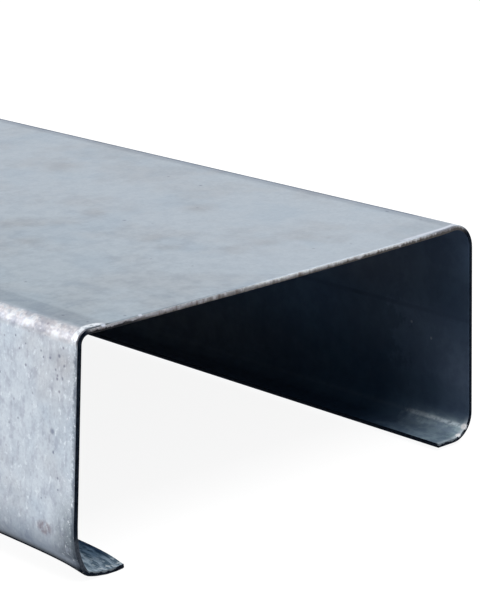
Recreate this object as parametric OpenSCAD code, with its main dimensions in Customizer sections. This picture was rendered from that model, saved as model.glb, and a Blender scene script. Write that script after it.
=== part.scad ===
// Lipped C-section steel stud, cold rolled from one galvanised strip and cut square at both ends.
// It lies on its lips with the web up: X runs across the web, Y along the stud, Z up.
// The origin is on the floor, under the middle of the section and of the length.

/* [Stock] */
// Length of the cut stud, mm
stud_length = 2438.4; // [900:0.1:6100]
// Width of the web over the two flanges, mm
web_w = 92.1; // [60:0.1:160]
// Depth of a flange, from the web's outer face to the outside of the lip bend, mm
flange_w = 41.3; // [30:0.1:76]
// Thickness of the strip, mm
sheet = 0.88; // [0.5:0.01:1.8]

/* [Bends] */
// Outside radius of the bend between the web and the left flange, mm
left_web_bend_r = 2.4; // [2:0.1:7]
// Outside radius of the bend between the web and the right flange, mm
right_web_bend_r = 4.9; // [2:0.1:7]
// Outside radius of the two bends between flange and lip, mm
lip_bend_r = 4.9; // [2.5:0.1:7]

/* [Left flange and lip] */
// How far the left flange leans outwards from square, degrees
left_lean = 4.3; // [0:0.1:6]
// Turn of the left lip from its flange, degrees
left_turn = 89; // [84:0.1:96]
// Width of the left lip, from the flange's outer face to the free edge, mm
left_lip = 10.8; // [8:0.1:20]

/* [Right flange and lip] */
// How far the right flange leans outwards from square, degrees
right_lean = 0.6; // [0:0.1:6]
// Turn of the right lip from its flange, degrees
right_turn = 91.6; // [84:0.1:96]
// Width of the right lip, from the flange's outer face to the free edge, mm
right_lip = 9.3; // [8:0.1:20]

/* [Service punchouts] */
// Width of a punchout, across the web, mm
punch_w = 38.1; // [20:0.1:45]
// Length of a punchout, end to end along the stud, mm
punch_length = 101.6; // [60:0.1:150]
// Distance from the leading end to the middle of the first punchout, mm
punch_start = 304.8; // [150:0.1:450]
// Distance between the middles of neighbouring punchouts, mm
punch_pitch = 609.6; // [300:0.1:1220]

/* [Hidden] */
$fn = 96;
galvanised = [0.68, 0.72, 0.76];
// Steps in the arc of one bend
bend_steps = 12;

// The last punchout keeps at least the first one's distance from its own end
rounding = 0.001;
punch_count = 1 + floor((stud_length - 2 * punch_start) / punch_pitch + rounding);

// The section is drawn with the web's outer face on y = 0 and y growing into the section.
// An angle is the direction that the strip runs in: 0 along the web, 90 square down a flange.
function towards(angle) = [cos(angle), sin(angle)];
function outwards(angle) = [sin(angle), -cos(angle)];
function arc(centre, r, from, to) =
    [for (i = [0:bend_steps]) centre + r * outwards(from + (to - from) * i / bend_steps)];

function web_bend_centre(bend_r) = [web_w / 2 - bend_r, bend_r];

// The flange is the straight that touches both bends, so the lip bend's centre follows from its lean
function lip_bend_centre(web_bend_r, lean) =
    let (
        radius_step = web_bend_r - lip_bend_r,
        straight = (flange_w - web_bend_r - lip_bend_r + radius_step * sin(lean)) / cos(lean)
    )
    web_bend_centre(web_bend_r) + radius_step * outwards(90 - lean) + straight * towards(90 - lean);

// One face of the strip, from the web round both bends to the lip's free edge,
// at a depth of 0 for the outer face and of the sheet's thickness for the inner one
function half_face(web_bend_r, lean, turn, lip, depth) =
    let (
        flange_angle = 90 - lean,
        lip_angle = flange_angle + turn,
        lip_bend = arc(lip_bend_centre(web_bend_r, lean), lip_bend_r - depth, flange_angle, lip_angle),
        straight_lip = (lip - lip_bend_r * (1 - cos(turn))) / sin(turn)
    )
    concat(
        arc(web_bend_centre(web_bend_r), web_bend_r - depth, 0, flange_angle),
        lip_bend,
        [lip_bend[bend_steps] + straight_lip * towards(lip_angle)]
    );

function reversed(points) = [for (i = [len(points) - 1:-1:0]) points[i]];
function mirrored(points) = [for (p = points) [-p.x, p.y]];

function left_face(depth) = mirrored(half_face(left_web_bend_r, left_lean, left_turn, left_lip, depth));
function right_face(depth) = half_face(right_web_bend_r, right_lean, right_turn, right_lip, depth);

section_outline = concat(
    right_face(0),
    reversed(right_face(sheet)),
    left_face(sheet),
    reversed(left_face(0))
);
across = [for (p = section_outline) p.x];
section_middle = (min(across) + max(across)) / 2;
section_depth = max([for (p = section_outline) p.y]);

// An oblong hole through the web, its length along the stud
module punchout() {
    punch_r = punch_w / 2;
    to_end_centre = punch_length / 2 - punch_r;
    cut_depth = 4 * sheet;
    translate([0, 0, -cut_depth / 2]) {
        for (end = [-1, 1]) translate([0, end * to_end_centre, 0]) cylinder(r = punch_r, h = cut_depth);
        translate([-punch_r, -to_end_centre, 0]) cube([punch_w, 2 * to_end_centre, cut_depth]);
    }
}

module stud() {
    leading_end = -stud_length / 2;
    color(galvanised) translate([-section_middle, 0, section_depth]) difference() {
        rotate([90, 0, 0]) linear_extrude(height = stud_length, center = true)
            mirror([0, 1]) polygon(section_outline);
        for (i = [0:1:punch_count - 1])
            translate([0, leading_end + punch_start + i * punch_pitch, 0]) punchout();
    }
}

stud();
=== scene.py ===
import math
from collections import namedtuple
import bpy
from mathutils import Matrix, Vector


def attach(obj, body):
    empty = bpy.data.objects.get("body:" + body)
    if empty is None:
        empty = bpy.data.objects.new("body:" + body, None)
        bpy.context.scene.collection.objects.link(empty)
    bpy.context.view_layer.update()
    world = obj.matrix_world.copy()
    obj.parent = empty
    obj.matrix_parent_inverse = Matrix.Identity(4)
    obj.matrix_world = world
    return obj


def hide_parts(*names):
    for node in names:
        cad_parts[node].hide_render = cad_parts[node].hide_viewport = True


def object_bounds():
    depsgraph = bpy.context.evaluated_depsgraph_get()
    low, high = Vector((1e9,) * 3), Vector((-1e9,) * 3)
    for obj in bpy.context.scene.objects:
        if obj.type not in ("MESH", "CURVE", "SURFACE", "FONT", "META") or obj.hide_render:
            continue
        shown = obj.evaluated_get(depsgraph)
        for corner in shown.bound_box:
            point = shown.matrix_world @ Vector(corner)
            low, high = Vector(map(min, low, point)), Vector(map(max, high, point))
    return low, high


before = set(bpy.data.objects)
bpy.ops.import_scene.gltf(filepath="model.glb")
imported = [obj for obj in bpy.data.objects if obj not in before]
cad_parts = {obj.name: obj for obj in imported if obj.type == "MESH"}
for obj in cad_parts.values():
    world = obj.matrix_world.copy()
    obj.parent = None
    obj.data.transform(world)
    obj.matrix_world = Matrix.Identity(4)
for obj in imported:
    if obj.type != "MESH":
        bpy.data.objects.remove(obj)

from types import SimpleNamespace

import bmesh
import bpy
import numpy as np
from mathutils import Quaternion, Vector

# Looks of a roll-formed steel stud: the galvanised strip with its bends, cut ends and punchouts.
# Metres, in the CAD part's frame: X across the web, Y along the stud, Z up. Materials work in mm.

CAD_LOW, CAD_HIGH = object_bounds()
LENGTH = CAD_HIGH.y - CAD_LOW.y
MM = 0.001

# The section, as in the CAD part
WEB_W = 92.1 * MM
FLANGE_W = 41.3 * MM
SHEET = 0.88 * MM
LIP_BEND_R = 4.9 * MM
SIDES = {
    "left": {"web_bend_r": 2.4 * MM, "lean": math.radians(4.3), "turn": math.radians(89), "lip": 10.8 * MM},
    "right": {"web_bend_r": 4.9 * MM, "lean": math.radians(0.6), "turn": math.radians(91.6), "lip": 9.3 * MM},
}

# Service punchouts through the web
PUNCH_R = 19.05 * MM
PUNCH_HALF = 50.8 * MM
PUNCH_STRAIGHT_HALF = PUNCH_HALF - PUNCH_R
PUNCH_START = 304.8 * MM
PUNCH_PITCH = 609.6 * MM
PUNCH_COUNT = 4
PUNCH_MIDDLES = [PUNCH_START + i * PUNCH_PITCH for i in range(PUNCH_COUNT)]

# The strip's faces, which are also their material slots
OUTER, INNER, CUT = 0, 1, 2

# Steps of the sheet's grid across the strip
BEND_STEPS = 12
FLANGE_STEPS = 16
LIP_STEPS = 3
WEB_SIDE_STEPS = 6
WEB_MIDDLE_STEPS = 18
# and along it: the rows beside a cut end, then the steps to the first punchout and between two punchouts
END_ROWS = np.array([0, 0.5, 0.9, 1.4, 2, 2.7, 3.5, 4.5, 6, 7.5, 9.5, 12, 15, 19, 24, 30]) * MM
END_STEPS = 21
PITCH_STEPS = 28
# Grid lines closer than this are one line
TOUCHING = 1e-6

# Inside this rectangle round each punchout, the web's grid gives way to rings of faces
RING_HALF_X = 27 * MM
RING_HALF_Y = 61 * MM
RING_CORNER_STEPS = 6
RING_SIDE_STEPS = 12
RING_STEPS = 5
# Above 1, the rings crowd towards the punchout's edge
RING_CROWDING = 1.5

# Cut edges: the shear rounds the outer corner and leaves the inner one almost sharp.
# Each is the face that meets the cut, the width of the rounding and its segments.
CUT_EDGES = ((OUTER, 0.30 * MM, 4), (INNER, 0.04 * MM, 1))
ROUND_PROFILE = 0.5

# Behind a cut end the left lip rides up, a little at once and the rest over a longer reach
LIP_RISES = ((0.45 * MM, 1.2 * MM), (0.58 * MM, 7 * MM))
# The rise starts at the first of these depths in the flange and is whole from the second one down
RISE_FROM = 20 * MM
RISE_TO = 36 * MM

# The shear pinches the left lip bend: close to the cut the foot of the flange leans inwards to a tight bend,
# and the strip comes out a little narrower there
PINCH_DEPTH = 32.7 * MM
PINCH_FOOT_R, PINCH_FOOT_TURN = 13.4 * MM, math.radians(31)
PINCH_STRAIGHT = 0.3 * MM
PINCH_BEND_R, PINCH_BEND_TURN = 2.4 * MM, math.radians(45)
PINCH_LIP_TURN = math.radians(24)
PINCH_LOSS = 0.4 * MM
PINCH_REACH = 2.5 * MM

# The web dips between its bends at a cut end, deepest a little to the right of its middle
DISH = 0.38 * MM
DISH_SKEW = 0.55
DISH_REACH = 6 * MM


# ---------------------------------------------------------------- section path

# A point (x, depth) of the strip's outer face, the angle that the strip runs in there, the distance walked
# from the web's edge, and the zone
Station = namedtuple("Station", "point angle walked zone")


def towards(angle):
    return np.array([math.cos(angle), math.sin(angle)])


def walk(start, runs):
    """Stations along the outer face of the strip. Each run is (zone, length, turn, steps)."""
    point, angle, walked = np.array(start, dtype=float), 0.0, 0.0
    stations = [Station(point, angle, walked, runs[0][0])]
    for zone, length, turn, steps in runs:
        step_length, step_turn = length / steps, turn / steps
        # The chord of a short arc runs at its middle angle
        chord = step_length * (math.sin(step_turn / 2) / (step_turn / 2) if turn else 1)
        for _ in range(steps):
            point = point + chord * towards(angle + step_turn / 2)
            angle += step_turn
            walked += step_length
            stations.append(Station(point, angle, walked, zone))
    return stations


def flange_straight(web_bend_r, lean):
    """Length of the straight that touches a flange's two bends."""
    radius_step = web_bend_r - LIP_BEND_R
    return (FLANGE_W - web_bend_r - LIP_BEND_R + radius_step * math.sin(lean)) / math.cos(lean)


def half_section(web_bend_r, lean, turn, lip):
    """The regular strip from the web bend's start to the lip's free edge."""
    flange_angle = math.pi / 2 - lean
    straight_lip = (lip - LIP_BEND_R * (1 - math.cos(turn))) / math.sin(turn)
    return walk((WEB_W / 2 - web_bend_r, 0), [
        ("web_bend", web_bend_r * flange_angle, flange_angle, BEND_STEPS),
        ("flange", flange_straight(web_bend_r, lean), 0, FLANGE_STEPS),
        ("lip_bend", LIP_BEND_R * turn, turn, BEND_STEPS),
        ("lip", straight_lip, 0, LIP_STEPS),
    ])


def pinched_half(web_bend_r, lean, turn, lip):
    """The same strip at a cut end, finely stepped."""
    flange_angle = math.pi / 2 - lean
    runs = [
        ("web_bend", web_bend_r * flange_angle, flange_angle, BEND_STEPS),
        ("flange", (PINCH_DEPTH - web_bend_r) / math.cos(lean), 0, 20),
        ("flange", PINCH_FOOT_R * PINCH_FOOT_TURN, PINCH_FOOT_TURN, 10),
        ("flange", PINCH_STRAIGHT, 0, 2),
        ("lip_bend", PINCH_BEND_R * PINCH_BEND_TURN, PINCH_BEND_TURN, 16),
    ]
    whole = half_section(web_bend_r, lean, turn, lip)[-1].walked
    rest = whole - PINCH_LOSS - sum(length for _, length, _, _ in runs)
    runs.append(("lip", rest, PINCH_LIP_TURN, 12))
    return walk((WEB_W / 2 - web_bend_r, 0), runs)


def stepped(start, end, steps):
    return np.linspace(start, end, steps + 1)


def web_columns():
    """X of the web's grid lines between the two bends, with the punchout rings' sides among them."""
    left_edge = -(WEB_W / 2 - SIDES["left"]["web_bend_r"])
    right_edge = WEB_W / 2 - SIDES["right"]["web_bend_r"]
    return np.concatenate([
        stepped(left_edge, -RING_HALF_X, WEB_SIDE_STEPS)[1:-1],
        stepped(-RING_HALF_X, RING_HALF_X, WEB_MIDDLE_STEPS),
        stepped(RING_HALF_X, right_edge, WEB_SIDE_STEPS)[1:-1],
    ])


class Section:
    """The strip from the left lip's free edge to the right one, and how it changes towards a cut end."""

    def __init__(self):
        left, right = half_section(**SIDES["left"]), half_section(**SIDES["right"])
        pinched = pinched_half(**SIDES["left"])
        columns = web_columns()
        web = [Station(np.array([x, 0.0]), 0.0, 0.0, "web") for x in columns]
        self.on_web = np.array([station.zone == "web" for station in left[::-1] + web + right])
        self.right_points = np.array([station.point for station in web + right])
        self.right_angles = np.array([station.angle for station in web + right])
        self.left_points = np.array([station.point for station in left])
        self.left_angles = np.array([station.angle for station in left])

        # The pinched strip, at the same distances walked as the regular one
        walked = np.array([station.walked for station in left])
        pinched_walked = [station.walked for station in pinched]
        self.pinched_points = np.stack([
            np.interp(walked, pinched_walked, [station.point[axis] for station in pinched]) for axis in (0, 1)
        ], axis=1)
        self.pinched_angles = np.interp(walked, pinched_walked, [station.angle for station in pinched])

        # The two sides don't lean alike, so the web's middle isn't the section's middle
        self.shift = (self.left_points[:, 0].max() - self.right_points[:, 0].max()) / 2
        # Distance along the strip from the web's middle
        right_walked = np.array([station.walked for station in right])
        self.across = np.concatenate([
            -(WEB_W / 2 - SIDES["left"]["web_bend_r"] + walked[::-1]),
            columns,
            WEB_W / 2 - SIDES["right"]["web_bend_r"] + right_walked,
        ])

    def at(self, from_end):
        """Outer points (x, depth) and outward normals at a distance from the nearest cut end."""
        rise = sum(height * (1 - math.exp(-from_end / reach)) for height, reach in LIP_RISES)
        low = np.clip((self.left_points[:, 1] - RISE_FROM) / (RISE_TO - RISE_FROM), 0, 1)
        low = low * low * (3 - 2 * low)
        risen = self.left_points - np.stack([0 * low, rise * low], axis=1)
        pinch = math.exp(-from_end / PINCH_REACH)
        left = (1 - pinch) * risen + pinch * self.pinched_points
        left_angles = (1 - pinch) * self.left_angles + pinch * self.pinched_angles

        points = np.concatenate([(left * (-1, 1))[::-1], self.right_points])
        normals = np.concatenate([
            np.stack([-np.sin(left_angles), -np.cos(left_angles)], axis=1)[::-1],
            np.stack([np.sin(self.right_angles), -np.cos(self.right_angles)], axis=1),
        ])
        dish = DISH * math.exp(-from_end / DISH_REACH)
        aside = self.across / (WEB_W / 2)
        hollow = (1 - aside ** 2) * (1 + DISH_SKEW * aside)
        points[:, 1] += dish * hollow * self.on_web
        return points, normals


# ---------------------------------------------------------------- the sheet's mesh

def length_rows():
    """Y of the grid rows from the leading end: close together at the ends, and on every punchout ring."""
    to_ring = stepped(END_ROWS[-1], PUNCH_START - RING_HALF_Y, END_STEPS)
    rows = set()
    for beside_end in (END_ROWS, to_ring):
        rows |= set(beside_end) | set(LENGTH - beside_end)
    ring = np.concatenate([
        stepped(-RING_HALF_Y, -PUNCH_STRAIGHT_HALF, RING_CORNER_STEPS),
        stepped(-PUNCH_STRAIGHT_HALF, PUNCH_STRAIGHT_HALF, RING_SIDE_STEPS),
        stepped(PUNCH_STRAIGHT_HALF, RING_HALF_Y, RING_CORNER_STEPS),
    ])
    for middle in PUNCH_MIDDLES:
        rows |= set(middle + ring)
    for middle in PUNCH_MIDDLES[:-1]:
        rows |= set(stepped(middle + RING_HALF_Y, middle + PUNCH_PITCH - RING_HALF_Y, PITCH_STEPS))
    kept = []
    for row in sorted(rows):
        if not kept or row - kept[-1] > TOUCHING:
            kept.append(row)
    return np.array(kept)


def oblong_point(x, y):
    """The point of a punchout's edge that a point of its rectangle is joined to, both from its middle."""
    if abs(y) <= PUNCH_STRAIGHT_HALF + TOUCHING and abs(x) > RING_HALF_X - TOUCHING:
        return math.copysign(PUNCH_R, x), y
    centre = math.copysign(PUNCH_STRAIGHT_HALF, y)
    away = Vector((x, y - centre)).normalized()
    return away.x * PUNCH_R, centre + away.y * PUNCH_R


def from_nearest_end(y):
    return min(y, LENGTH - y)


class SheetMesh:
    """The strip as one closed mesh: an outer and an inner grid, the cut faces between them, and punchouts."""

    def __init__(self, section):
        self.section = section
        self.rows = length_rows()
        self.columns = range(len(section.across))
        self.mesh = bmesh.new()
        self.side_layer = self.mesh.faces.layers.int.new("side")
        self.flat_layer = self.mesh.verts.layers.float_vector.new("flat")
        self.through_layer = self.mesh.verts.layers.float.new("through")
        self.outer, self.inner = [], []
        for y in self.rows:
            points, normals = section.at(from_nearest_end(y))
            self.outer.append(self.place_row(points, y, OUTER))
            self.inner.append(self.place_row(points - normals * SHEET, y, INNER))

    def place_row(self, points, y, side):
        across = self.section.across
        return [self.place(x, y, down, a, side) for (x, down), a in zip(points, across)]

    def place(self, x, y, down, across, side):
        """A vertex, with its place on the unrolled strip in mm: across, along and from the nearest cut end."""
        vert = self.mesh.verts.new((x + self.section.shift, CAD_LOW.y + y, CAD_HIGH.z - down))
        vert[self.flat_layer] = (across / MM, y / MM, from_nearest_end(y) / MM)
        vert[self.through_layer] = side
        return vert

    def add(self, corners, side):
        face = self.mesh.faces.new(corners)
        face.smooth = True
        face[self.side_layer] = side

    def ring_lines(self, middle):
        """The grid's rows and columns inside a punchout's ring rectangle."""
        rows = [j for j, y in enumerate(self.rows) if abs(y - middle) < RING_HALF_Y + TOUCHING]
        columns = [k for k in self.columns if abs(self.section.across[k]) < RING_HALF_X + TOUCHING]
        return rows, columns

    def add_grids(self):
        in_ring = set()
        for middle in PUNCH_MIDDLES:
            rows, columns = self.ring_lines(middle)
            in_ring |= {(j, k) for j in rows[:-1] for k in columns[:-1]}
        outer, inner = self.outer, self.inner
        for j in range(len(self.rows) - 1):
            for k in self.columns[:-1]:
                if (j, k) not in in_ring:
                    self.add((outer[j][k], outer[j][k + 1], outer[j + 1][k + 1], outer[j + 1][k]), OUTER)
                    self.add((inner[j][k], inner[j + 1][k], inner[j + 1][k + 1], inner[j][k + 1]), INNER)

    def add_cut_faces(self):
        """The cut faces of the two ends and of the two lips' free edges."""
        outer, inner = self.outer, self.inner
        for k in self.columns[:-1]:
            self.add((outer[0][k], inner[0][k], inner[0][k + 1], outer[0][k + 1]), CUT)
            self.add((outer[-1][k], outer[-1][k + 1], inner[-1][k + 1], inner[-1][k]), CUT)
        for j in range(len(self.rows) - 1):
            self.add((outer[j][0], outer[j + 1][0], inner[j + 1][0], inner[j][0]), CUT)
            self.add((outer[j][-1], inner[j][-1], inner[j + 1][-1], outer[j + 1][-1]), CUT)

    def add_rings(self, grid, down, side, middle, loop):
        """Rings of faces on one side of the strip, from the rectangle in to the punchout. Gives its edge."""
        ring = [grid[j][k] for j, k in loop]
        for step in range(1, RING_STEPS + 1):
            share = 1 - (1 - step / RING_STEPS) ** RING_CROWDING
            next_ring = []
            for j, k in loop:
                x, y = self.section.across[k], self.rows[j] - middle
                edge_x, edge_y = oblong_point(x, y)
                x, y = x + (edge_x - x) * share, y + (edge_y - y) * share
                next_ring.append(self.place(x, middle + y, down, x, side))
            for i in range(len(loop)):
                n = (i + 1) % len(loop)
                corners = (ring[i], ring[n], next_ring[n], next_ring[i])
                self.add(corners if side == OUTER else corners[::-1], side)
            ring = next_ring
        return ring

    def add_punchout(self, middle):
        rows, columns = self.ring_lines(middle)
        loop = [(rows[0], k) for k in columns[:-1]] + [(j, columns[-1]) for j in rows[:-1]]
        loop += [(rows[-1], k) for k in columns[:0:-1]] + [(j, columns[0]) for j in rows[:0:-1]]
        upper = self.add_rings(self.outer, 0.0, OUTER, middle, loop)
        lower = self.add_rings(self.inner, SHEET, INNER, middle, loop)
        for i in range(len(loop)):
            n = (i + 1) % len(loop)
            self.add((upper[i], upper[n], lower[n], lower[i]), CUT)

    def round_cut_edges(self):
        self.mesh.normal_update()
        bmesh.ops.recalc_face_normals(self.mesh, faces=self.mesh.faces)
        for side, width, segments in CUT_EDGES:
            meeting = {CUT, side}
            sharp = [e for e in self.mesh.edges if {f[self.side_layer] for f in e.link_faces} == meeting]
            bmesh.ops.bevel(self.mesh, geom=sharp, offset=width, segments=segments, profile=ROUND_PROFILE,
                            affect="EDGES", clamp_overlap=False, material=-1)
        # The bevels may push a corner a few micrometres out of the CAD box
        for vert in self.mesh.verts:
            vert.co = [min(max(value, low), high) for value, low, high in zip(vert.co, CAD_LOW, CAD_HIGH)]

    def as_object(self, name):
        for face in self.mesh.faces:
            face.material_index = face[self.side_layer]
        data = bpy.data.meshes.new(name)
        self.mesh.to_mesh(data)
        self.mesh.free()
        return in_scene(name, data)


def in_scene(name, data):
    """A new object, linked to the scene."""
    made = bpy.data.objects.new(name, data)
    bpy.context.scene.collection.objects.link(made)
    return made


def build_sheet(section):
    sheet_mesh = SheetMesh(section)
    sheet_mesh.add_grids()
    sheet_mesh.add_cut_faces()
    for middle in PUNCH_MIDDLES:
        sheet_mesh.add_punchout(middle)
    sheet_mesh.round_cut_edges()
    return sheet_mesh.as_object("stud_sheet")


# ---------------------------------------------------------------- shading calls

def rgb(red, green, blue):
    return (red, green, blue, 1.0)


class Shading:
    """A new material for the strip, and short calls for the nodes that its patterns are made of.

    Each call gives the node's output. Lengths are in mm."""

    def __init__(self, name):
        self.material = bpy.data.materials.new(name)
        self.material.use_nodes = True
        self.nodes = self.material.node_tree.nodes
        self.links = self.material.node_tree.links
        self.shader = self.nodes["Principled BSDF"]
        self.flat = self.attribute("flat", "Vector")
        # Distance across the strip from the web's middle, below 0 on the left, and from the nearest cut end
        self.across, _, self.from_end = self.split(self.flat)
        self.from_middle = self.maths("ABSOLUTE", self.across)
        self.place = self.strip()

    def put(self, socket, value):
        """Links an output to a socket, or writes a plain number, colour or vector on it."""
        if isinstance(value, bpy.types.NodeSocket):
            self.links.new(value, socket)
        else:
            socket.default_value = value

    def finish(self, **inputs):
        """Puts values on the shader's inputs, named with _ for each space, and gives the material."""
        for name, value in inputs.items():
            self.put(self.shader.inputs[name.replace("_", " ")], value)
        return self.material

    def attribute(self, name, output):
        node = self.nodes.new("ShaderNodeAttribute")
        node.attribute_name = name
        return node.outputs[output]

    def mapped(self, vector, scale, shift=(0, 0, 0)):
        node = self.nodes.new("ShaderNodeMapping")
        self.put(node.inputs["Vector"], vector)
        node.inputs["Location"].default_value = shift
        node.inputs["Scale"].default_value = scale
        return node.outputs["Vector"]

    def strip(self, across=1, along=1, shift=(0, 0)):
        """Place on the unrolled strip, stretched where a number isn't 1: below 1 its patterns grow longer."""
        return self.mapped(self.flat, (across, along, 0), (*shift, 0))

    def solid(self):
        """Place in the object's own frame."""
        return self.mapped(self.nodes.new("ShaderNodeTexCoord").outputs["Object"], (1 / MM, 1 / MM, 1 / MM))

    def split(self, vector):
        node = self.nodes.new("ShaderNodeSeparateXYZ")
        self.put(node.inputs[0], vector)
        return node.outputs["X"], node.outputs["Y"], node.outputs["Z"]

    def noise(self, vector, size, detail, roughness):
        """Soft noise whose lumps are about this size."""
        node = self.nodes.new("ShaderNodeTexNoise")
        self.put(node.inputs["Vector"], vector)
        node.inputs["Scale"].default_value = 1 / size
        node.inputs["Detail"].default_value = detail
        node.inputs["Roughness"].default_value = roughness
        return node.outputs["Fac"]

    def cells(self, size):
        """Distance to the nearest of scattered points, in cells of this size, and a random number per cell."""
        node = self.nodes.new("ShaderNodeTexVoronoi")
        self.put(node.inputs["Vector"], self.place)
        node.inputs["Scale"].default_value = 1 / size
        return node.outputs["Distance"], self.split(node.outputs["Color"])[0]

    def span(self, value, low, high, to_low=0.0, to_high=1.0, smooth=True):
        """Maps a number from low..high to to_low..to_high, clamped."""
        node = self.nodes.new("ShaderNodeMapRange")
        node.interpolation_type = "SMOOTHSTEP" if smooth else "LINEAR"
        self.put(node.inputs["Value"], value)
        for name, number in (("From Min", low), ("From Max", high), ("To Min", to_low), ("To Max", to_high)):
            node.inputs[name].default_value = number
        return node.outputs["Result"]

    def fall(self, value, low, high):
        """1 up to low, falling to 0 at high."""
        return self.span(value, low, high, 1.0, 0.0)

    def band(self, value, start, end, edge):
        """1 between start and end, and 0 outside, with soft edges this wide."""
        rising = self.span(value, start - edge / 2, start + edge / 2)
        return self.times(rising, self.fall(value, end - edge / 2, end + edge / 2))

    def wavering(self, value, pattern, low, high, reach):
        """The value shifted by up to this much either way, by a pattern between low and high."""
        return self.maths("ADD", value, self.span(pattern, low, high, -reach, reach))

    def maths(self, operation, first, second=0.0):
        node = self.nodes.new("ShaderNodeMath")
        node.operation = operation
        self.put(node.inputs[0], first)
        self.put(node.inputs[1], second)
        return node.outputs[0]

    def times(self, *values):
        product = values[0]
        for value in values[1:]:
            product = self.maths("MULTIPLY", product, value)
        return product

    def most(self, *values):
        greatest = values[0]
        for value in values[1:]:
            greatest = self.maths("MAXIMUM", greatest, value)
        return greatest

    def spot(self, place, x, y, radius, softness):
        """1 within a round spot, fading to 0 at its radius over this share of it."""
        node = self.nodes.new("ShaderNodeVectorMath")
        node.operation = "DISTANCE"
        self.put(node.inputs[0], place)
        node.inputs[1].default_value = (x, y, 0)
        return self.fall(node.outputs["Value"], radius * (1 - softness), radius)

    def marks(self, spots):
        """1 within any of a list of marks on a rim, for the faces on both sides of it."""
        return self.most(*(self.spot(self.place, x, y, radius, 0.5) for x, y, radius in spots))

    def blend(self, share, first, second, mode="MIX"):
        node = self.nodes.new("ShaderNodeMix")
        node.data_type = "RGBA"
        node.blend_type = mode
        factor, first_colour, second_colour = node.inputs["Factor"], node.inputs[6], node.inputs[7]
        for socket, value in ((factor, share), (first_colour, first), (second_colour, second)):
            self.put(socket, value)
        return node.outputs[2]

    def bump(self, height, distance, strength, onto=None):
        node = self.nodes.new("ShaderNodeBump")
        self.put(node.inputs["Strength"], strength)
        node.inputs["Distance"].default_value = distance * MM
        self.put(node.inputs["Height"], height)
        if onto is not None:
            self.put(node.inputs["Normal"], onto)
        return node.outputs["Normal"]


class Coat:
    """A colour built up in layers, each laid as far as its share goes from 0 to 1."""

    def __init__(self, shading, pattern, first, second):
        """Starts with a pattern of two colours."""
        self.shading = shading
        self.colour = shading.blend(pattern, first, second)

    def cover(self, share, over):
        self.colour = self.shading.blend(share, self.colour, over)

    def tint(self, share, factor):
        """Multiplies the colour by another one."""
        self.colour = self.shading.blend(share, self.colour, factor, "MULTIPLY")


# ---------------------------------------------------------------- materials

# Places across the strip are in mm from the web's middle, measured on the strip, and below 0 on the left.
# The web ends at 43.7 on the left and 41.2 on the right, its bends at 47.2 and 48.8, the flanges at 81.2
# and 80.3, the lip bends at 88.8 and 88.1, and the lips at 94.8 and 92.4.

# Specks on the outer face: middle across and along the strip, and radius
SPECKS = (
    (30.6, 55.8, 0.5), (3.4, 46.5, 0.55), (31.3, 65.9, 0.45), (-35.0, 1.5, 0.4), (-41.3, 3.1, 0.35),
    (-41.8, 8.6, 0.4), (-34.0, 28.0, 0.4), (-8.5, 14.9, 0.35), (-10.4, 23.4, 0.3), (40.5, 16.0, 0.5),
    (-48.8, 15.4, 0.3), (-47.2, 8.0, 0.3), (-49.6, 12.8, 0.25), (-49.9, 8.9, 0.3), (-50.8, 8.3, 0.3),
    (-62.3, 14.5, 0.3), (-71.9, 4.1, 0.3), (-62.4, 5.7, 0.75), (-65.8, 5.4, 0.4), (-69.9, 4.2, 0.35),
    (-49.8, 4.3, 0.45), (-51.2, 3.1, 0.4), (-53.3, 3.5, 0.45), (-52.2, 5.2, 0.35), (-50.6, 6.6, 0.35),
    (-74.6, 8.2, 0.3),
)
# Soft brownish stains, the same way
STAINS = (
    (10.3, 52.8, 4.5), (3.5, 54.8, 4.5), (-5.1, 54.5, 5.0), (-10.5, 59.3, 6.0), (-17.1, 48.1, 5.0),
    (-1.7, 33.5, 4.5), (-3.3, 26.4, 4.0), (18.6, 42.7, 5.5), (4.0, 17.6, 4.0), (10.8, 17.2, 4.5),
    (16.1, 16.4, 4.5), (18.7, 12.7, 4.5), (20.2, 9.3, 4.0), (21.8, 87.5, 7.0),
    (28.0, 150.0, 22.0), (-20.0, 420.0, 26.0), (-50.8, 3.4, 3.6),
)
# Painted glints on the web's upper rim, and painted glints on the inner rim of the right lip bend, the same way
RIM_GLINTS = ((-33.0, 0.2, 0.5), (-40.6, 0.2, 0.6))
LIP_RIM_GLINTS = ((83.8, 0.4, 0.9), (86.4, 0.3, 0.7))
# Small flecks on the inside of the right flange
FLECKS = ((65.8, 14.3), (68.0, 9.4))
FLECK_R = 0.35
# A ring-shaped scuff low on the left flange, a little longer along the stud than across it
SCUFF = (-79.6, 7.3)
SCUFF_R = 1.5
SCUFF_HOLLOW_R = 0.9
SCUFF_SHRINK = 0.65

# Colours of the outer zinc. A TINT is multiplied into the colour that it is laid on.
# The web's colour, darker on the left by painted shade, and the flanges' paler colour, which is painted light
ZINC_WEB_SHADED_LEFT = rgb(0.371, 0.430, 0.480)
ZINC_WEB_LIT_RIGHT = rgb(0.415, 0.470, 0.526)
ZINC_FLANGE_LIT = rgb(0.600, 0.662, 0.728)
BROWNISH_TINT = rgb(0.96, 0.935, 0.92)
BLUISH_TINT = rgb(0.93, 0.955, 0.975)
MOTTLE_TINT = rgb(0.855, 0.86, 0.88)
GRAIN_TINT = rgb(0.83, 0.83, 0.86)
SPANGLE_TINT = rgb(0.955, 0.96, 0.965)
RUNS_TINT = rgb(0.81, 0.80, 0.835)
PALE_RUNS = rgb(0.74, 0.80, 0.86)
STAIN_TINT = rgb(0.885, 0.855, 0.84)
SPECK_TINT = rgb(0.35, 0.36, 0.45)
DOT_TINT = rgb(0.45, 0.45, 0.52)
PIT_TINT = rgb(0.45, 0.43, 0.50)
SCUFF_TINT = rgb(0.56, 0.45, 0.45)
ROLLER_TINT = rgb(0.80, 0.81, 0.83)
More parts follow.
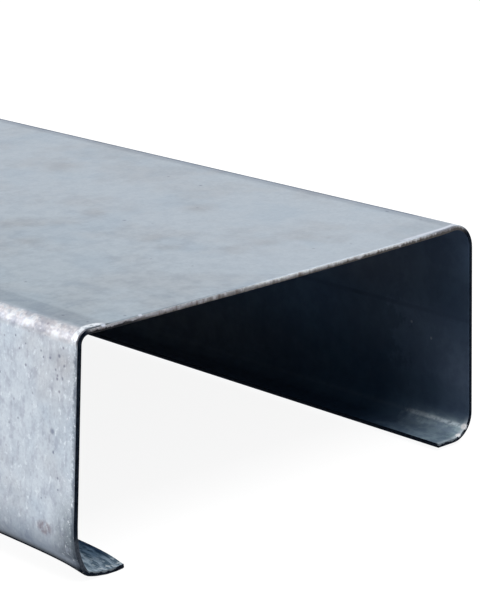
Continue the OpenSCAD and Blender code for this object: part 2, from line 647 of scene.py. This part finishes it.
CRAZED = rgb(0.74, 0.735, 0.755)
PINKISH_TINT = rgb(0.82, 0.77, 0.77)
CROWN_TINT = rgb(0.74, 0.75, 0.76)
# A painted highlight beside the cut on the left bend
BEND_HIGHLIGHT = rgb(0.76, 0.80, 0.85)
# Painted shade along the right bend
BEND_SHADE_TINT = rgb(0.36, 0.39, 0.46)
# Painted shade at the foot of each flange
FOOT_SHADE = rgb(0.085, 0.120, 0.180)
FOOT_SHADE_DARKEST = rgb(0.012, 0.022, 0.038)
RIM_TINT = rgb(0.49, 0.51, 0.54)
FOOT_TINT = rgb(0.40, 0.43, 0.45)
EDGE_LEFT_TINT = rgb(0.60, 0.61, 0.62)
EDGE_RIGHT_TINT = rgb(0.46, 0.45, 0.47)
EDGE_BEND_TINT = rgb(0.22, 0.22, 0.24)
# A painted highlight along the web's rim towards the right
WEB_RIM_HIGHLIGHT = rgb(0.58, 0.62, 0.70)
# A painted glint on the web's upper rim
WEB_RIM_GLINT = rgb(0.42, 0.46, 0.53)
NICKED = rgb(0.86, 0.90, 0.95)
SHEEN = rgb(0.75, 0.77, 0.80)

# Colours of the inner zinc, which is painted dark as painted shade
INNER_SHADED_DARK = rgb(0.082, 0.127, 0.205)
INNER_SHADED_LIGHT = rgb(0.112, 0.163, 0.245)
INNER_SHADE_TINT = rgb(0.56, 0.60, 0.62)
LOW_SHADE_TINT = rgb(0.32, 0.42, 0.48)
LOW_AT_CUT = rgb(0.089, 0.132, 0.203)
SALTS_HIGH = rgb(0.20, 0.25, 0.33)
SALTS_DEEP = rgb(0.26, 0.315, 0.385)
SALTS_TINT = rgb(1.30, 1.44, 1.52)
BLOT_TINT = rgb(0.80, 0.80, 0.84)
TIDE_TINT = rgb(1.28, 1.22, 1.20)
LINE_TINT = rgb(0.70, 0.70, 0.74)
FLECK = rgb(0.20, 0.23, 0.28)
LIP_DARK = rgb(0.165, 0.230, 0.285)
LIP_LIGHT = rgb(0.22, 0.295, 0.350)
# Painted light and painted highlights on the right lip
LIP_BEND_LIT = rgb(0.33, 0.43, 0.50)
LIP_DARK_TINT = rgb(0.76, 0.78, 0.84)
LIP_LIGHT_TINT = rgb(1.12, 1.13, 1.10)
LIP_CREST_HIGHLIGHT = rgb(0.79, 0.91, 0.98)
LIP_RIM_HIGHLIGHT = rgb(0.80, 0.87, 0.92)
SOILED_DARK = rgb(0.075, 0.120, 0.165)
SOILED_LIGHT = rgb(0.30, 0.38, 0.46)
SOILED_FLECK = rgb(0.48, 0.55, 0.60)
SOILED_TINT = rgb(0.30, 0.38, 0.46)
SOILED_BEND = rgb(0.50, 0.62, 0.72)
LIP_EDGE_TINT = rgb(0.20, 0.28, 0.40)
# A painted glint on the right lip bend's inner rim
LIP_GLINT_WHITE = rgb(0.97, 0.98, 1.0)

# Colours of the cut faces
TOP_LEFT = rgb(0.345, 0.360, 0.380)
TOP_RIGHT = rgb(0.640, 0.675, 0.700)
TOP_DULL_TINT = rgb(0.62, 0.63, 0.65)
TOP_BEND_TINT = rgb(0.50, 0.47, 0.49)
BARE_STEEL = rgb(0.228, 0.222, 0.224)
BARE_GRAIN_TINT = rgb(0.76, 0.74, 0.75)
BRIGHTEST_TINT = rgb(1.30, 1.31, 1.38)
TORN = rgb(0.085, 0.080, 0.078)
CUT_CHIP = rgb(0.50, 0.50, 0.54)
CUT_PIT_TINT = rgb(0.68, 0.60, 0.58)
# A painted shadow low on the web's cut face
CUT_SHADOW_TINT = rgb(0.03, 0.03, 0.05)
# Painted glints on the cut faces' rims
CUT_RIM_GLINT = rgb(0.50, 0.53, 0.60)
# Painted shade on the flanges' and lips' cut faces
CUT_SHADE_DARK = rgb(0.002, 0.004, 0.009)
CUT_SHADE_LIGHT = rgb(0.012, 0.018, 0.030)
LIP_RUBBED = rgb(0.15, 0.18, 0.21)
CUT_SHADE_THIN = rgb(0.066, 0.078, 0.100)
CUT_GLINT = rgb(0.90, 0.93, 1.0)


def outer_patterns(s):
    """Parts of the strip, and noises that several layers of the outer zinc share."""
    on_web = s.fall(s.from_middle, 42.8, 45.2)
    ragged = s.noise(s.place, 7, 4.0, 0.65)
    return SimpleNamespace(
        on_web=on_web,
        on_flange=s.maths("SUBTRACT", 1.0, on_web),
        clouds=s.noise(s.place, 22, 4.0, 0.6),
        mottle=s.noise(s.place, 3.4, 3.0, 0.6),
        pale=s.noise(s.strip(0.75, 1, (300, 100)), 1.1, 3.0, 0.65),
        ragged=ragged,
        wander=s.wavering(s.across, ragged, 0.3, 0.7, 4),
        crazing=s.noise(s.place, 0.8, 4.0, 0.7),
    )


def lay_clouds_and_grain(s, p, coat):
    """Broad clouds from bluish to brownish, finer mottle, and a grain as fine as the zinc's own crystals."""
    coat.tint(s.span(p.clouds, 0.45, 0.62), BROWNISH_TINT)
    blues = s.noise(s.strip(1, 0.7, (500, 200)), 12, 3.0, 0.55)
    coat.tint(s.span(blues, 0.48, 0.66), BLUISH_TINT)
    # The mottle fades towards the right of the web, and where the clouds are thin
    faded = s.times(s.span(s.across, -20, 25, 1.0, 0.45), s.span(p.clouds, 0.38, 0.60, 0.6, 1.05))
    coat.tint(s.times(s.span(p.mottle, 0.38, 0.68), s.most(p.on_flange, faded)), MOTTLE_TINT)
    grain = s.noise(s.place, 0.6, 3.0, 0.6)
    coat.tint(s.times(s.span(grain, 0.42, 0.66), s.span(p.on_flange, 0, 1, 0.30, 0.6)), GRAIN_TINT)
    spangle = s.noise(s.place, 0.9, 2.0, 0.5)
    coat.tint(s.times(s.span(spangle, 0.40, 0.60), p.on_web), SPANGLE_TINT)


def lay_runs(s, p, coat):
    """Streaks that ran down the flanges as the strip was dipped, greyer and faintly purple, and pale ones."""
    runs = s.noise(s.strip(0.45, 1), 1.4, 4.0, 0.65)
    coat.tint(s.times(s.span(runs, 0.50, 0.66), p.on_flange), RUNS_TINT)
    coat.cover(s.times(s.span(p.pale, 0.56, 0.70), p.on_flange, 0.75), PALE_RUNS)


def lay_stains_and_specks(s, p, coat):
    in_stain = s.span(p.ragged, 0.30, 0.60, 0.3, 1.0)
    for x, y, radius in STAINS:
        coat.tint(s.times(s.spot(s.place, x, y, radius, 1.0), in_stain), STAIN_TINT)
    for x, y, radius in SPECKS:
        coat.tint(s.times(s.spot(s.place, x, y, radius, 0.8), 0.75), SPECK_TINT)
    near, kind = s.cells(7)
    coat.tint(s.times(s.fall(near, 0.03, 0.06), s.span(kind, 0.62, 0.64), 0.6), DOT_TINT)
    # Fine dark pits are scattered over the flanges, thickest below the bend
    near, kind = s.cells(2.1)
    pitted = s.times(s.span(kind, 0.40, 0.42), p.on_flange, s.span(s.from_middle, 54, 64, 1.0, 0.55))
    coat.tint(s.times(s.fall(near, 0.06, 0.17), pitted, 0.85), PIT_TINT)


def lay_scuff(s, p, coat):
    place = s.strip(1, SCUFF_SHRINK)
    x, y = SCUFF[0], SCUFF[1] * SCUFF_SHRINK
    hollow = s.times(s.spot(place, x, y, SCUFF_HOLLOW_R, 0.9), 0.4)
    scuffed = s.maths("SUBTRACT", s.spot(place, x, y, SCUFF_R, 0.6), hollow)
    coat.tint(s.times(scuffed, s.span(p.pale, 0.34, 0.54)), SCUFF_TINT)


def lay_web_bends(s, p, coat):
    """Dull roller marks on the web beside each bend, and pale crazed zinc, partly pinkish, on the left bend."""
    roller = s.band(s.from_middle, 39.5, 44.3, 1.2)
    coat.tint(s.times(roller, s.span(s.across, 0, 1, 1.0, 0.35)), ROLLER_TINT)
    patches = s.noise(s.strip(1, 0.6), 2.2, 3.0, 0.6)
    bend = s.band(s.across, -47.2, -44.2, 1.2)
    crazed = s.times(bend, s.span(patches, 0.40, 0.58), s.span(p.crazing, 0.35, 0.55), 0.8)
    coat.cover(crazed, CRAZED)
    coat.tint(s.times(bend, s.fall(patches, 0.48, 0.62)), PINKISH_TINT)
    # The crown of the bend is a little duller, and beside the cut it is painted pale as a painted highlight
    crown = s.times(s.band(s.across, -47.0, -45.8, 0.6), s.span(p.crazing, 0.35, 0.60))
    coat.tint(crown, CROWN_TINT)
    beside_cut = s.band(s.wavering(s.from_end, patches, 0.35, 0.65, 0.4), 0.45, 1.5, 0.5)
    rubbed = s.times(s.band(s.across, -47.0, -40.2, 1.6), beside_cut, s.span(p.crazing, 0.34, 0.52))
    coat.cover(rubbed, BEND_HIGHLIGHT)


def lay_bend_shade(s, coat):
    """Painted shade: a dark line along the right bend, fainter on the web beside it. Gives its share."""
    before_flange = s.fall(s.across, 44, 48)
    line = s.times(s.span(s.across, 40.6, 42.0), before_flange, s.span(s.from_end, 1, 12, 0.15, 1.0))
    thin = s.times(s.span(s.across, 39.3, 40.7), before_flange, s.span(s.from_end, 0.5, 5, 0.10, 0.38))
    bend_shade = s.most(line, thin)
    coat.tint(bend_shade, BEND_SHADE_TINT)
    return bend_shade


def lay_foot_shade(s, coat):
    """The foot of each flange and the outside of its lip bend are painted dark, darkest on the bend, down to
    the underside of the lips: painted shade.

    Gives the share of its darkest part."""
    above_lip = s.fall(s.from_middle, 86.5, 89.5)
    coat.cover(s.times(s.span(s.from_middle, 76.5, 87.5), above_lip), FOOT_SHADE)
    foot_shade = s.times(s.span(s.from_middle, 83.2, 85.0), above_lip)
    coat.cover(foot_shade, FOOT_SHADE_DARKEST)
    return foot_shade


def lay_handling(s, p, coat):
    """Handling darkens the last millimetre before the cut on the flanges, and the flange's foot beside it."""
    rim = s.fall(s.wavering(s.from_end, p.crazing, 0.35, 0.65, 0.3), 0.2, 1.0)
    coat.tint(s.times(rim, s.span(s.from_middle, 46.5, 48.5)), RIM_TINT)
    foot = s.times(s.span(s.from_middle, 70, 79), s.fall(s.from_middle, 82.6, 83.5))
    near_cut = s.fall(s.from_end, 0.5, 7)
    coat.tint(s.times(foot, near_cut, s.span(p.pale, 0.22, 0.52)), FOOT_TINT)


def lay_rounded_edge(s, p, coat):
    """The rounded edge of the web is dull towards both bends, and almost black on the left one."""
    rounded = s.fall(s.from_end, 0.25, 0.50)
    coat.tint(s.times(rounded, s.fall(p.wander, -16, -5), p.on_web), EDGE_LEFT_TINT)
    coat.tint(s.times(rounded, s.span(s.across, 31, 38), s.fall(s.across, 40.5, 42)), EDGE_RIGHT_TINT)
    coat.tint(s.times(rounded, s.band(s.across, -47.4, -39.5, 1.5)), EDGE_BEND_TINT)
    # Just behind it, towards the right, a painted highlight runs along the web
    bright = s.times(s.band(s.from_end, 0.35, 1.1, 0.4), s.span(p.wander, 26, 32), p.on_web, 0.9)
    coat.cover(bright, WEB_RIM_HIGHLIGHT)


def lay_glints_and_nicks(s, p, coat):
    """Painted glints on the web's upper rim, and pale nicks scattered over the flanges near the cut."""
    coat.cover(s.marks(RIM_GLINTS), WEB_RIM_GLINT)
    nicked = s.times(s.fall(s.from_end, 1.0, 5), p.on_flange, s.span(p.crazing, 0.58, 0.68), 0.8)
    coat.cover(nicked, NICKED)


def zinc_outer():
    """Dull galvanised steel: cloudy zinc, marks of the rollers and the shear, and handling marks, with painted
    shade on the flanges' feet and the right bend and painted highlights on the left bend and the web.
    """
    s = Shading("zinc_outer")
    p = outer_patterns(s)
    # The web is painted a little darker towards its left, a painted shading gradient, and the flanges are
    # painted paler, which is painted light
    web_shading = s.span(s.across, -40, 5, smooth=False)
    coat = Coat(s, web_shading, ZINC_WEB_SHADED_LEFT, ZINC_WEB_LIT_RIGHT)
    coat.cover(p.on_flange, ZINC_FLANGE_LIT)
    for lay in (lay_clouds_and_grain, lay_runs, lay_stains_and_specks, lay_scuff, lay_web_bends):
        lay(s, p, coat)
    bend_shade = lay_bend_shade(s, coat)
    foot_shade = lay_foot_shade(s, coat)
    for lay in (lay_handling, lay_rounded_edge, lay_glints_and_nicks):
        lay(s, p, coat)
    # The painted shade on the flanges' feet and the right bend also takes the metal's shine away
    unshaded = s.times(s.maths("SUBTRACT", 1.0, foot_shade), s.maths("SUBTRACT", 1.0, bend_shade))
    waves = s.bump(s.noise(s.place, 6, 2.0, 0.5), 0.02, 0.5)
    return s.finish(
        Base_Color=coat.colour,
        Metallic=s.times(unshaded, 0.6),
        Specular_IOR_Level=s.times(unshaded, 0.2),
        Specular_Tint=SHEEN,
        Roughness=s.span(p.mottle, 0.3, 0.7, 0.40, 0.50),
        Normal=s.bump(p.crazing, 0.02, s.span(p.on_flange, 0, 1, 0.35, 0.6), waves),
    )


def lay_inner_shade_and_salts(s, coat):
    """The inside is darker away from the web, and darker still low down a little way in from the cut end:
    painted shade.
    """
    coat.tint(s.span(s.from_middle, 47, 58), INNER_SHADE_TINT)
    low = s.span(s.from_middle, 62, 76)
    coat.tint(s.times(low, s.span(s.from_end, 1, 24)), LOW_SHADE_TINT)
    coat.cover(s.times(low, s.fall(s.from_end, 0, 10)), LOW_AT_CUT)
    # Deep inside the film is pale with zinc salts, most of all on the upper part of the flanges
    high = s.fall(s.from_middle, 54, 64)
    coat.cover(s.times(high, s.span(s.from_end, 2, 40, 0.0, 0.7)), SALTS_HIGH)
    coat.cover(s.span(s.from_end, 30, 150, 0.0, 0.8), SALTS_DEEP)
    coat.tint(s.times(s.fall(s.from_middle, 67, 80), s.span(s.from_end, 24, 44)), SALTS_TINT)


def lay_inner_marks(s, coat):
    """Beside the cut a tide mark, soft mottling and flecks show on the flange, under a thin roller line."""
    blots = s.noise(s.place, 5, 4.0, 0.65)
    coat.tint(s.span(blots, 0.36, 0.62), BLOT_TINT)
    before_tide = s.fall(s.wavering(s.from_end, blots, 0.3, 0.7, 4), 17, 18)
    coat.tint(s.times(before_tide, s.band(s.from_middle, 62, 76, 4)), TIDE_TINT)
    line = s.band(s.from_middle, 62.4, 63.2, 0.5)
    coat.tint(s.times(line, s.span(blots, 0.30, 0.60, 1.0, 0.3)), LINE_TINT)
    for x, y in FLECKS:
        coat.cover(s.times(s.spot(s.place, x, y, FLECK_R, 0.5), 0.7), FLECK)


def right_lip(s, mottle, fleck):
    """The right lip's colour, lighter than the rest of the inside: painted light on its bend, with painted
    highlights along the crest and at the rim by the cut.
    """
    coat = Coat(s, s.span(mottle, 0.35, 0.65), LIP_DARK, LIP_LIGHT)
    coat.cover(s.band(s.across, 82.9, 86.4, 1.6), LIP_BEND_LIT)
    patches = s.noise(s.strip(1, 0.7), 1.6, 3.0, 0.6)
    coat.tint(s.span(patches, 0.40, 0.60), LIP_DARK_TINT)
    coat.tint(s.fall(patches, 0.40, 0.55), LIP_LIGHT_TINT)
    crest = s.band(s.across, 83.4, 84.3, 0.7)
    coat.cover(s.times(crest, s.span(fleck, 0.30, 0.55)), LIP_CREST_HIGHLIGHT)
    rim = s.times(s.span(s.from_end, 0.3, 1.2, 0.6, 0.0), s.span(s.across, 87, 89, 1.0, 0.3))
    coat.cover(rim, LIP_RIM_HIGHLIGHT)
    return coat.colour


def left_lip(s, streaks, fleck):
    """The left lip is streaked and soiled, most of all towards its free edge."""
    coat = Coat(s, s.span(streaks, 0.40, 0.60), SOILED_DARK, SOILED_LIGHT)
    flecked = s.times(s.span(fleck, 0.52, 0.62), s.span(s.from_end, 1, 4, 1.0, 0.3))
    coat.cover(flecked, SOILED_FLECK)
    coat.tint(s.times(s.span(s.from_middle, 89.5, 92.5), s.span(s.from_end, 1, 5)), SOILED_TINT)
    coat.cover(s.times(s.fall(s.from_middle, 86.5, 89), 0.7), SOILED_BEND)
    coat.tint(s.times(s.span(s.from_middle, 93.5, 94.0), s.span(s.from_end, 2.5, 6)), LIP_EDGE_TINT)
    return coat.colour


def zinc_inner():
    """The inside of the channel: matt and bluish, and painted dark, which is painted shade. Close to a cut end
    the lips are lighter, which on the right lip is painted light.
    """
    s = Shading("zinc_inner")
    mottle = s.noise(s.place, 3, 4.0, 0.6)
    clouds = s.noise(s.place, 20, 2.0, 0.5)
    streaks = s.noise(s.strip(1, 0.3), 0.9, 4.0, 0.65)
    fleck = s.noise(s.place, 1.1, 4.0, 0.7)
    coat = Coat(s, s.span(clouds, 0.35, 0.65), INNER_SHADED_DARK, INNER_SHADED_LIGHT)
    lay_inner_shade_and_salts(s, coat)
    lay_inner_marks(s, coat)
    lips = s.blend(s.span(s.across, -1, 1), left_lip(s, streaks, fleck), right_lip(s, mottle, fleck))
    # Painted light: the right lip's colour shows only close to the cut and gives way to the dark inside,
    # raggedly, so that no straight line shows
    reach = s.wavering(s.from_end, mottle, 0.3, 0.7, 2)
    near_cut = s.span(reach, 1, 16, 1.0, 0.0, smooth=False)
    lip_share = s.most(near_cut, 0.015, s.fall(s.across, -1, 1))
    coat.cover(s.times(s.span(s.from_middle, 80.8, 84.4), lip_share), lips)
    # Painted glints on the inner rim of the right lip bend
    coat.cover(s.marks(LIP_RIM_GLINTS), LIP_GLINT_WHITE)
    return s.finish(
        Base_Color=coat.colour,
        Metallic=0.0,
        Specular_IOR_Level=0.04,
        Roughness=s.span(mottle, 0.3, 0.7, 0.50, 0.65),
        Normal=s.bump(streaks, 0.03, 0.6),
    )


def cut_patterns(s):
    """Noises of the cut faces, and the depth through the sheet: 0 at the outer face and 1 at the inner one."""
    ragged = s.noise(s.place, 1.6, 4.0, 0.7)
    return SimpleNamespace(
        grain=s.noise(s.solid(), 0.5, 4.0, 0.7),
        wander=s.wavering(s.across, ragged, 0.3, 0.7, 3),
        depth=s.wavering(s.attribute("through", "Fac"), ragged, 0.3, 0.7, 0.25),
    )


def bare_cut(s, p):
    """The web's cut face: bare and brownish grey, burnished above and torn below along a ragged line."""
    # Its upper rim is rubbed bright from the middle of the web to the right, and dull towards both bends
    top = Coat(s, s.span(p.wander, -13, -6), TOP_LEFT, TOP_RIGHT)
    top.tint(s.span(p.wander, 25, 34), TOP_DULL_TINT)
    top.tint(s.band(s.across, 35, 42, 3), TOP_BEND_TINT)
    bare = Coat(s, s.span(p.depth, 0.12, 0.72), top.colour, BARE_STEEL)
    bare.tint(s.span(p.grain, 0.40, 0.60), BARE_GRAIN_TINT)
    # It is brightest a little in from the left bend
    brightest = s.times(s.band(p.wander, -41, -19, 6), s.band(p.depth, 0.22, 0.70, 0.2))
    bare.tint(brightest, BRIGHTEST_TINT)
    # The torn part grows towards the right flange
    torn_from = s.span(s.across, -10, 36, 0.85, 0.40)
    bare.cover(s.span(s.maths("SUBTRACT", p.depth, torn_from), 0.0, 0.12), TORN)
    # Chips catch the light here and there, and pits don't
    pitting = s.noise(s.strip(1, 1, (200, 0)), 1.3, 3.0, 0.6)
    chipped = s.times(s.span(pitting, 0.53, 0.60), s.band(p.depth, 0.15, 0.65, 0.3), 0.8)
    bare.cover(chipped, CUT_CHIP)
    bare.tint(s.fall(pitting, 0.38, 0.47), CUT_PIT_TINT)
    # Towards the left bend the lower part is painted black: a painted shadow under the cut face
    bare.tint(s.times(s.span(p.depth, 0.48, 0.66), s.fall(p.wander, -36, -29)), CUT_SHADOW_TINT)
    # Painted glints on the upper rim
    bare.cover(s.times(s.marks(RIM_GLINTS), s.fall(p.depth, 0.20, 0.40)), CUT_RIM_GLINT)
    return bare.colour


def shaded_cut(s, p):
    """The flanges' and lips' cut faces: painted black, which is painted shade, and rubbed along the lips' upper
    rim.
    """
    dark = Coat(s, s.span(p.grain, 0.35, 0.65), CUT_SHADE_DARK, CUT_SHADE_LIGHT)
    on_lip = s.times(s.span(s.from_middle, 84, 87), s.fall(s.from_middle, 92.0, 93.2))
    rubbed = s.times(on_lip, s.span(p.depth, 0.62, 0.85), s.fall(s.from_end, 0.1, 0.5))
    dark.cover(rubbed, LIP_RUBBED)
    # The painted shade is lighter on the left lip bend
    thin = s.times(s.band(s.across, -85.2, -79.0, 1.6), s.span(p.grain, 0.35, 0.60, 0.5, 1.0))
    dark.cover(thin, CUT_SHADE_THIN)
    # Painted glints on the lip bend's rim
    dark.cover(s.times(s.marks(LIP_RIM_GLINTS), s.span(p.depth, 0.60, 0.80), 0.7), CUT_GLINT)
    return dark.colour


def cut_edge():
    """Sheared steel: bare along the web, and painted dark on the flanges and lips, which is painted shade."""
    s = Shading("cut_edge")
    p = cut_patterns(s)
    # Where the cut faces are painted dark as painted shade
    shaded_part = s.maths("ADD", s.span(s.across, 42.5, 45.5), s.fall(s.across, -44.6, -42.2))
    return s.finish(
        Base_Color=s.blend(shaded_part, bare_cut(s, p), shaded_cut(s, p)),
        Metallic=0.3,
        Roughness=0.5,
        Specular_IOR_Level=s.span(shaded_part, 0, 1, 0.1, 0.0),
        Normal=s.bump(p.grain, 0.04, 0.6),
    )


# ---------------------------------------------------------------- stage, lights and camera

# Camera: place from the middle of the leading cut end, and the way it looks
CAMERA_FROM_END = Vector((-263.51, -270.92, 128.90)) * MM
CAMERA_YAW = math.radians(42.922)
CAMERA_PITCH = math.radians(16.688)
CAMERA_ROLL = math.radians(-1.111)
CAMERA_LENS = 140.27
CLIP_START = 0.01
CLIP_END = 100

# Light that the camera and reflections see where nothing stands, and what falls on matt surfaces
BACKDROP_WHITE = 1.0
WORLD_ON_MATT = 0.65
# The floor gives this much white of its own to the camera and to reflections, and the rest is lit,
# so it keeps shadows
FLOOR_OWN_WHITE = 0.90
FLOOR_MATT = 0.18
FLOOR_HALF = 60.0

# Softboxes: middle from the top of the leading cut end, which each one faces, size, and power in watts
SOFTBOXES = {
    "back_left": {"at": (-0.75, 0.95, 0.36), "size": (1.5, 0.70), "power": 7.2},
    "right": {"at": (0.85, 0.05, 0.80), "size": (0.6, 0.6), "power": 2.4},
    "front_overhead": {"at": (0.0, -0.45, 1.2), "size": (0.8, 0.5), "power": 7.0},
}


def add_camera(web_middle):
    data = bpy.data.cameras.new("camera")
    data.lens = CAMERA_LENS
    data.sensor_fit = "AUTO"
    data.clip_start, data.clip_end = CLIP_START, CLIP_END
    camera = in_scene("camera", data)
    camera.location = Vector((web_middle, CAD_LOW.y, CAD_HIGH.z - FLANGE_W / 2)) + CAMERA_FROM_END
    forward = Vector((
        math.sin(CAMERA_YAW) * math.cos(CAMERA_PITCH),
        math.cos(CAMERA_YAW) * math.cos(CAMERA_PITCH),
        -math.sin(CAMERA_PITCH),
    ))
    roll = Quaternion((0, 0, 1), CAMERA_ROLL)
    camera.rotation_mode = "QUATERNION"
    camera.rotation_quaternion = forward.to_track_quat("-Z", "Y") @ roll
    bpy.context.scene.camera = camera


def seen_directly(nodes, links):
    """1 for rays that show a surface to the eye or in a reflection, and 0 for those that light matt ones."""
    path = nodes.new("ShaderNodeLightPath")
    total = path.outputs["Is Camera Ray"]
    for name in ("Is Glossy Ray", "Is Transmission Ray"):
        either = nodes.new("ShaderNodeMath")
        either.operation = "MAXIMUM"
        links.new(total, either.inputs[0])
        links.new(path.outputs[name], either.inputs[1])
        total = either.outputs[0]
    return total


def pick_seen(tree, matt, seen, output):
    """Shows one shader where a surface is seen directly, and the other one where it lights matt surfaces."""
    pick = tree.nodes.new("ShaderNodeMixShader")
    tree.links.new(seen_directly(tree.nodes, tree.links), pick.inputs[0])
    tree.links.new(matt.outputs[0], pick.inputs[1])
    tree.links.new(seen.outputs[0], pick.inputs[2])
    tree.links.new(pick.outputs[0], tree.nodes[output].inputs["Surface"])


def floor_white():
    material = bpy.data.materials.new("floor_white")
    material.use_nodes = True
    tree = material.node_tree
    matt = tree.nodes["Principled BSDF"]
    matt.inputs["Base Color"].default_value = rgb(FLOOR_MATT, FLOOR_MATT, FLOOR_MATT)
    matt.inputs["Roughness"].default_value = 1.0
    matt.inputs["Specular IOR Level"].default_value = 0.0
    own = tree.nodes.new("ShaderNodeEmission")
    own.inputs["Color"].default_value = rgb(1, 1, 1)
    own.inputs["Strength"].default_value = FLOOR_OWN_WHITE
    both = tree.nodes.new("ShaderNodeAddShader")
    tree.links.new(matt.outputs[0], both.inputs[0])
    tree.links.new(own.outputs[0], both.inputs[1])
    pick_seen(tree, matt, both, "Material Output")
    return material


def add_floor():
    data = bpy.data.meshes.new("floor")
    corners = [(x * FLOOR_HALF, y * FLOOR_HALF, CAD_LOW.z) for x, y in ((-1, -1), (1, -1), (1, 1), (-1, 1))]
    data.from_pydata(corners, [], [(0, 1, 2, 3)])
    data.materials.append(floor_white())
    floor = in_scene("floor", data)


def add_world():
    world = bpy.data.worlds.new("studio")
    bpy.context.scene.world = world
    world.use_nodes = True
    nodes = world.node_tree.nodes
    matt, seen = nodes["Background"], nodes.new("ShaderNodeBackground")
    for background, strength in ((matt, WORLD_ON_MATT), (seen, BACKDROP_WHITE)):
        background.inputs["Color"].default_value = rgb(1, 1, 1)
        background.inputs["Strength"].default_value = strength
    pick_seen(world.node_tree, matt, seen, "World Output")


def add_softboxes():
    end_top = Vector((0, CAD_LOW.y, FLANGE_W))
    for name, box in SOFTBOXES.items():
        data = bpy.data.lights.new(name, "AREA")
        data.shape = "RECTANGLE"
        data.size, data.size_y = box["size"]
        data.energy = box["power"]
        lamp = in_scene(name, data)
        place = Vector(box["at"])
        lamp.location = end_top + place
        lamp.rotation_euler = (-place).to_track_quat("-Z", "Y").to_euler()
        lamp.visible_camera = False


section = Section()
add_camera(section.shift)
add_floor()
add_world()
add_softboxes()

sheet = build_sheet(section)
for make_material in (zinc_outer, zinc_inner, cut_edge):
    sheet.data.materials.append(make_material())
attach(sheet, "root")
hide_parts("stud")

bpy.context.scene.view_settings.view_transform = "Standard"
